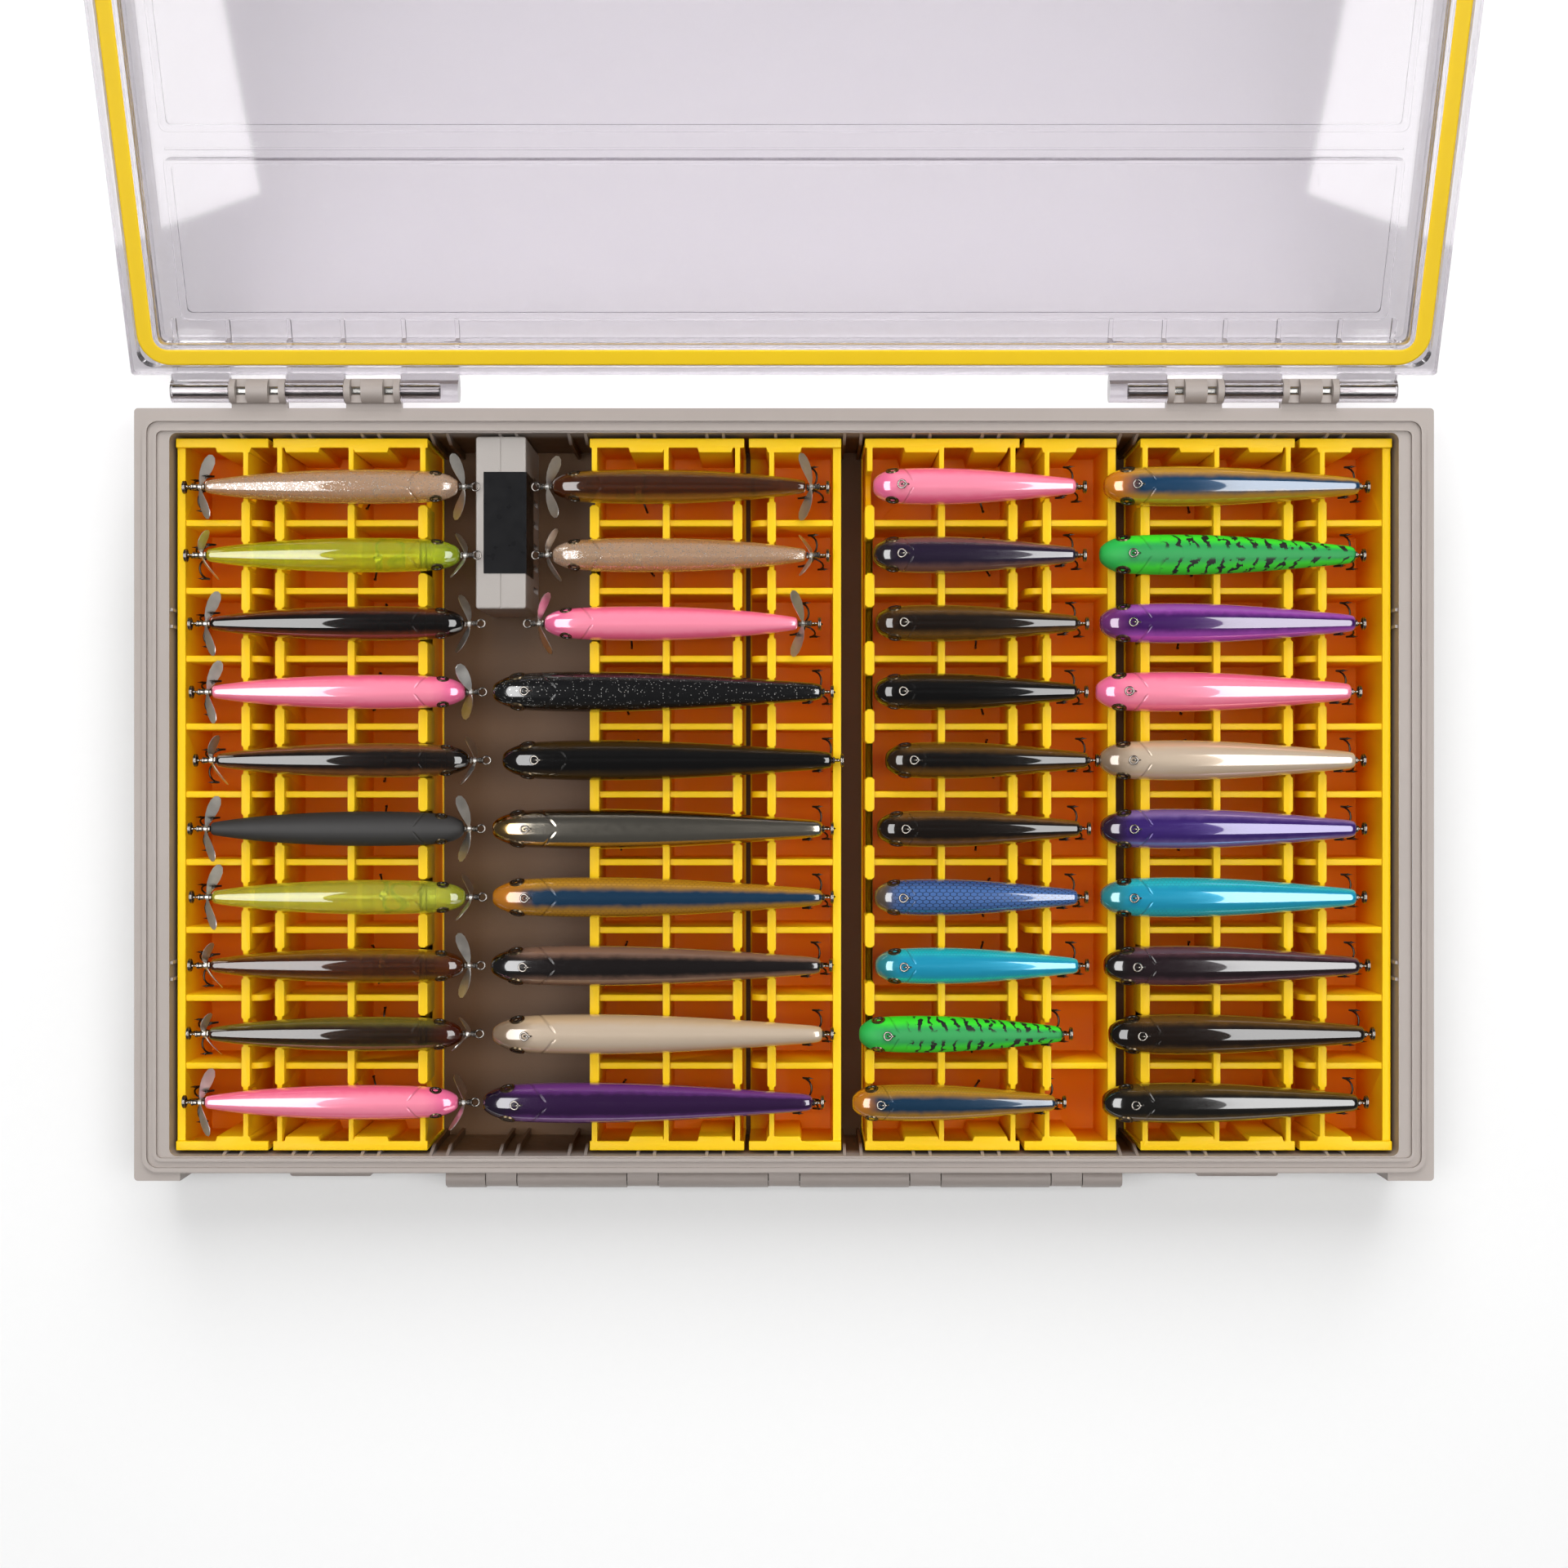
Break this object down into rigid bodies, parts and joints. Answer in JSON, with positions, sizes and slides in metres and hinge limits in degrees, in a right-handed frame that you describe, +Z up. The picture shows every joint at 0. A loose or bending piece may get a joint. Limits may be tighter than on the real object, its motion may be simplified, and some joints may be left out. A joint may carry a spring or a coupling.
{
  "type": "fishing tackle box",
  "caption": "Flat tackle case with a clear hinged lid, yellow seal, full-width front latch and lift-out comb racks that hold slim topwater lures in rows.",
  "frame": {"origin": "centre of the tray's flat underside", "axes": "+X to the right along the long side, +Y to the hinge at the back, +Z up out of the tray"},
  "size_m": [0.508, 0.5969, 0.1872],
  "materials": {
    "case_gray": "satin moulded",
    "clear_plastic": "clear polished",
    "gasket_yellow": "smooth rubber",
    "steel": "bright",
    "rack_yellow": "satin moulded",
    "holder_gray": "satin moulded",
    "black_gloss": "gloss film",
    "pad_white": "felt",
    "lure_amber": "clear coated",
    "lure_amber_black": "clear coated",
    "lure_black": "clear coated",
    "lure_black_amber": "clear coated",
    "lure_black_brown": "clear coated",
    "lure_black_clear": "clear coated",
    "lure_black_glitter": "clear coated",
    "lure_black_gold": "clear coated",
    "lure_blue_gold": "clear coated",
    "lure_blue_orange": "clear coated",
    "lure_blue_scale": "clear coated",
    "lure_bronze": "clear coated",
    "lure_brown_black": "clear coated",
    "lure_brown_violet": "clear coated",
    "lure_chartreuse": "clear coated",
    "lure_chrome": "clear coated",
    "lure_cyan": "clear coated",
    "lure_dusk": "clear coated",
    "lure_ghost": "clear coated",
    "lure_green_tiger": "clear coated",
    "lure_lime": "clear coated",
    "lure_matte_black": "flat",
    "lure_olive": "clear coated",
    "lure_pearl": "clear coated",
    "lure_purple": "clear coated",
    "lure_purple_orange": "clear coated",
    "lure_rose": "clear coated",
    "lure_smoke": "clear coated",
    "lure_violet": "clear coated"
  },
  "bodies": {
    "tray": {"tray": "case_gray", "hinge_pin_left": "steel", "hinge_pin_right": "steel", "latch_pin": "steel"},
    "lid": {"lid": "clear_plastic", "lid_gasket": "gasket_yellow"},
    "latch": {"latch": "case_gray"},
    "moisture_holder": {"holder_case": "holder_gray", "holder_pad": "pad_white", "holder_label": "black_gloss"},
    "rack_set_1": {"rack_wide_1": "rack_yellow", "rack_narrow_1": "rack_yellow"},
    "rack_set_2": {"rack_wide_2": "rack_yellow", "rack_narrow_2": "rack_yellow"},
    "rack_set_3": {"rack_wide_3": "rack_yellow", "rack_narrow_3": "rack_yellow"},
    "rack_set_4": {"rack_wide_4": "rack_yellow", "rack_narrow_4": "rack_yellow"},
    "lures_1": {"lure_a01_ghost": "lure_ghost", "lure_a02_chartreuse": "lure_chartreuse", "lure_a03_black_clear": "lure_black_clear", "lure_a04_pink": "steel", "lure_a05_smoke": "lure_smoke", "lure_a06_matte_black": "lure_matte_black", "lure_a07_lime": "lure_lime", "lure_a08_amber": "lure_amber", "lure_a09_olive": "lure_olive", "lure_a10_rose": "lure_rose"},
    "lures_2": {"lure_b01_amber": "lure_amber", "lure_b02_ghost": "lure_ghost", "lure_b03_pink": "steel", "lure_b04_black_glitter": "lure_black_glitter", "lure_b05_black": "lure_black", "lure_b06_chrome": "lure_chrome", "lure_b07_blue_gold": "lure_blue_gold", "lure_b08_black_brown": "lure_black_brown", "lure_b09_pearl": "lure_pearl", "lure_b10_purple": "lure_purple"},
    "lures_3": {"lure_c01_pink": "steel", "lure_c02_dusk": "lure_dusk", "lure_c03_brown_black": "lure_brown_black", "lure_c04_black": "lure_black", "lure_c05_black_amber": "lure_black_amber", "lure_c06_bronze": "lure_bronze", "lure_c07_blue_scale": "lure_blue_scale", "lure_c08_cyan": "lure_cyan", "lure_c09_green_tiger": "lure_green_tiger", "lure_c10_blue_gold": "lure_blue_gold"},
    "lures_4": {"lure_d01_blue_orange": "lure_blue_orange", "lure_d02_green_tiger": "lure_green_tiger", "lure_d03_violet": "lure_violet", "lure_d04_pink": "steel", "lure_d05_pearl": "lure_pearl", "lure_d06_purple_orange": "lure_purple_orange", "lure_d07_cyan": "lure_cyan", "lure_d08_brown_violet": "lure_brown_violet", "lure_d09_amber_black": "lure_amber_black", "lure_d10_black_gold": "lure_black_gold"}
  },
  "joints": [
    {"name": "lid_hinge", "type": "hinge", "parent": "tray", "child": "lid", "pos_m": [0, 0.1574, 0.05215], "axis": [-1, 0, 0], "range_deg": [-154, 0]},
    {"name": "latch_hinge", "type": "hinge", "parent": "tray", "child": "latch", "pos_m": [0, -0.1524, 0.036], "axis": [1, 0, 0], "range_deg": [-180, 0]},
    {"name": "holder_lift", "type": "slide", "parent": "tray", "child": "moisture_holder", "axis": [0, 0, 1], "range_m": [0, 0.08]},
    {"name": "lures_1_lift", "type": "slide", "parent": "tray", "child": "lures_1", "axis": [0, 0, 1], "range_m": [0, 0.12]},
    {"name": "lures_2_lift", "type": "slide", "parent": "tray", "child": "lures_2", "axis": [0, 0, 1], "range_m": [0, 0.12]},
    {"name": "lures_3_lift", "type": "slide", "parent": "tray", "child": "lures_3", "axis": [0, 0, 1], "range_m": [0, 0.12]},
    {"name": "lures_4_lift", "type": "slide", "parent": "tray", "child": "lures_4", "axis": [0, 0, 1], "range_m": [0, 0.12]},
    {"name": "rack_set_1_lift", "type": "slide", "parent": "tray", "child": "rack_set_1", "axis": [0, 0, 1], "range_m": [0, 0.06]},
    {"name": "rack_set_2_lift", "type": "slide", "parent": "tray", "child": "rack_set_2", "axis": [0, 0, 1], "range_m": [0, 0.06]},
    {"name": "rack_set_3_lift", "type": "slide", "parent": "tray", "child": "rack_set_3", "axis": [0, 0, 1], "range_m": [0, 0.06]},
    {"name": "rack_set_4_lift", "type": "slide", "parent": "tray", "child": "rack_set_4", "axis": [0, 0, 1], "range_m": [0, 0.06]}
  ],
  "couplings": [
    {"joint": "rack_set_1_lift", "follows": "lures_1_lift", "ratio": 0.5},
    {"joint": "rack_set_2_lift", "follows": "lures_2_lift", "ratio": 0.5},
    {"joint": "rack_set_3_lift", "follows": "lures_3_lift", "ratio": 0.5},
    {"joint": "rack_set_4_lift", "follows": "lures_3_lift", "ratio": 0.5},
    {"joint": "lures_4_lift", "follows": "lures_3_lift", "ratio": 1}
  ]
}
